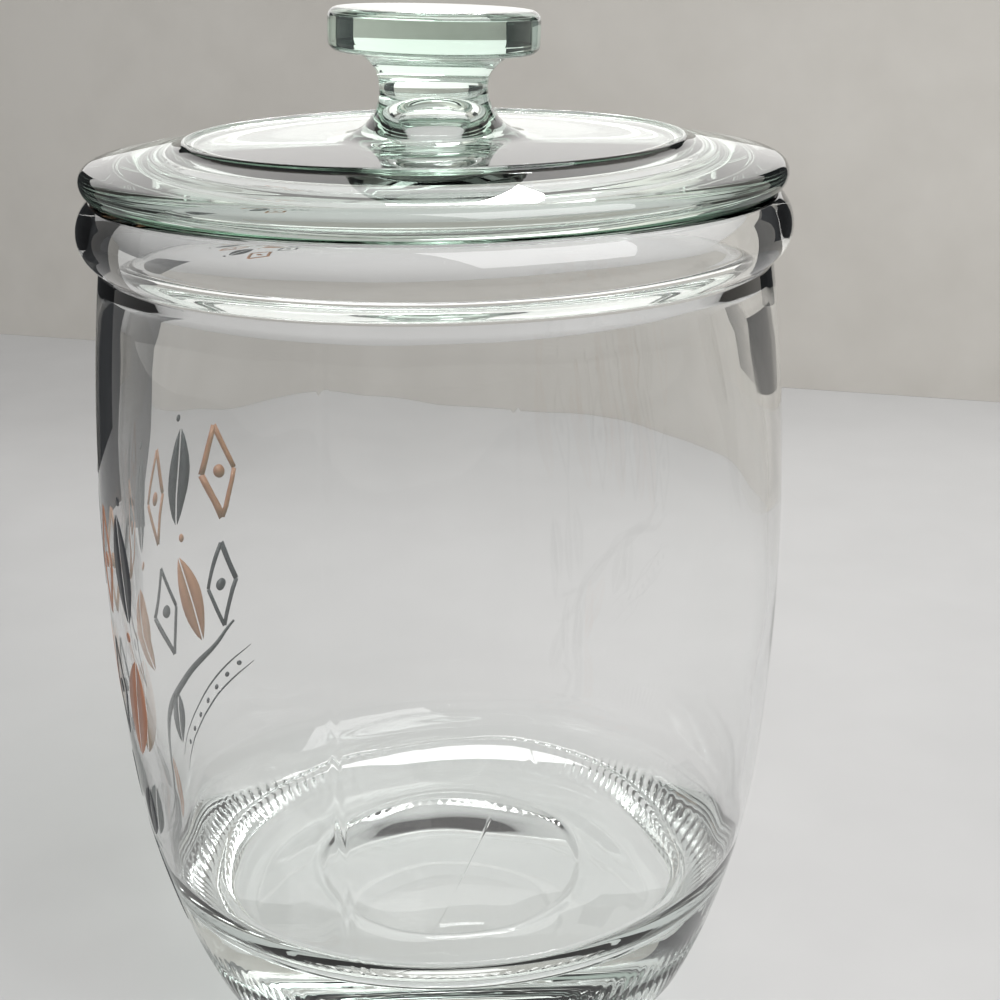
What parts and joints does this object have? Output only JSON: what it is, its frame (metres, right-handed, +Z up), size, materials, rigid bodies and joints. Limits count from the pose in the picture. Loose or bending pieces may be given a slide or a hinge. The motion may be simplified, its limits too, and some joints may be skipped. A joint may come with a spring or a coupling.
{
  "type": "glass canister",
  "caption": "Barrel-shaped clear glass storage jar with a beaded mouth and a loose glass lid with a disc knob, empty.",
  "frame": {"origin": "centre of the underside, on the ground plane", "axes": "+Z up along the axis of the jar, the lid and the knob; -Y is the side seen from the front"},
  "size_m": [0.1424, 0.1424, 0.2087],
  "materials": {
    "jar_glass": "clear polished",
    "lid_glass": "clear polished, faint green at the rim",
    "print_copper": "thin fired enamel print",
    "print_charcoal": "thin fired enamel print"
  },
  "bodies": {
    "root": {"jar": "jar_glass", "lid": "lid_glass"}
  },
  "joints": []
}
